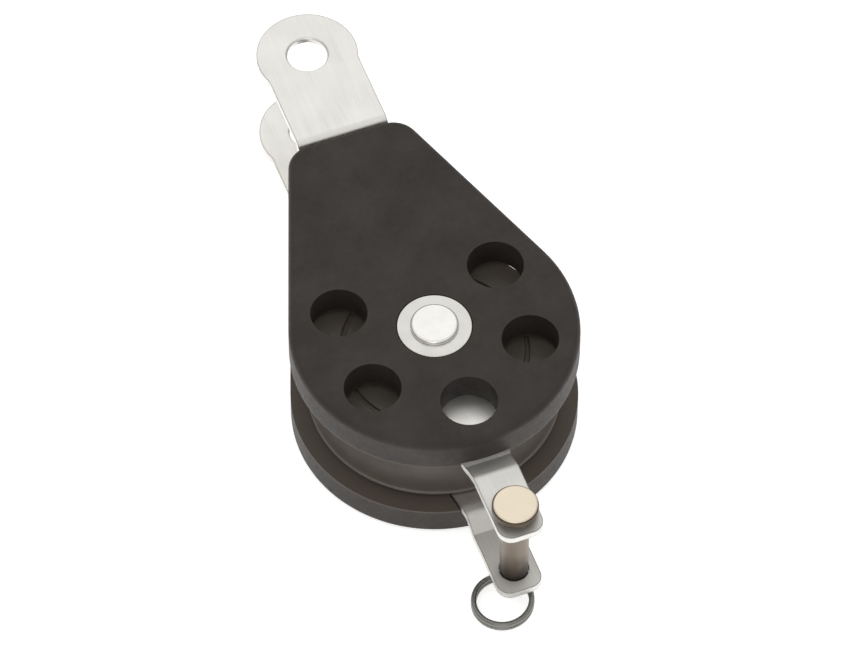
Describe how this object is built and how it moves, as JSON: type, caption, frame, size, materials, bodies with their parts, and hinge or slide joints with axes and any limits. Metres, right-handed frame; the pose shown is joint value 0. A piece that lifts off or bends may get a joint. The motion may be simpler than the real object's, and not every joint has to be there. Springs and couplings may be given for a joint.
{
  "type": "single sheave block with becket",
  "caption": "Pear-shaped single sheave block with side straps, a forked eye head and a becket closed by a clevis pin and split ring.",
  "frame": {"origin": "where the sheave axis meets the resting face, the outer face of the back cheek", "axes": "+Z along the sheave axis towards the front cheek, +Y towards the head eyes, X across the block"},
  "size_m": [0.051, 0.1219, 0.0277],
  "materials": {
    "cheek_nylon": "matte moulded, glass-filled",
    "sheave_acetal": "smooth satin",
    "strap_steel": "polished",
    "sleeve_steel": "drawn",
    "rivet_steel": "pressed bright",
    "washer_steel": "polished",
    "pin_steel": "turned",
    "ring_steel": "bright spring wire"
  },
  "bodies": {
    "frame": {"front_cheek": "cheek_nylon", "back_cheek": "cheek_nylon", "front_strap": "strap_steel", "back_strap": "strap_steel", "bearing_sleeve": "sleeve_steel", "axle_rivet": "rivet_steel", "front_washer": "washer_steel", "back_washer": "washer_steel"},
    "sheave": {"sheave": "sheave_acetal"},
    "becket_pin": {"becket_pin": "pin_steel"},
    "split_ring": {"split_ring": "ring_steel"}
  },
  "joints": [
    {"name": "sheave_spin", "type": "hinge", "parent": "frame", "child": "sheave", "pos_m": [0, 0, 0.0134], "axis": [0, 0, 1], "continuous": true},
    {"name": "becket_pin_turn", "type": "hinge", "parent": "frame", "child": "becket_pin", "pos_m": [0, -0.039, 0.0134], "axis": [0, 0, 1], "continuous": true},
    {"name": "split_ring_swing", "type": "hinge", "parent": "becket_pin", "child": "split_ring", "pos_m": [0, -0.039, 0.0018], "axis": [0.7071, -0.7071, 0], "range_deg": [-8, 183]}
  ]
}
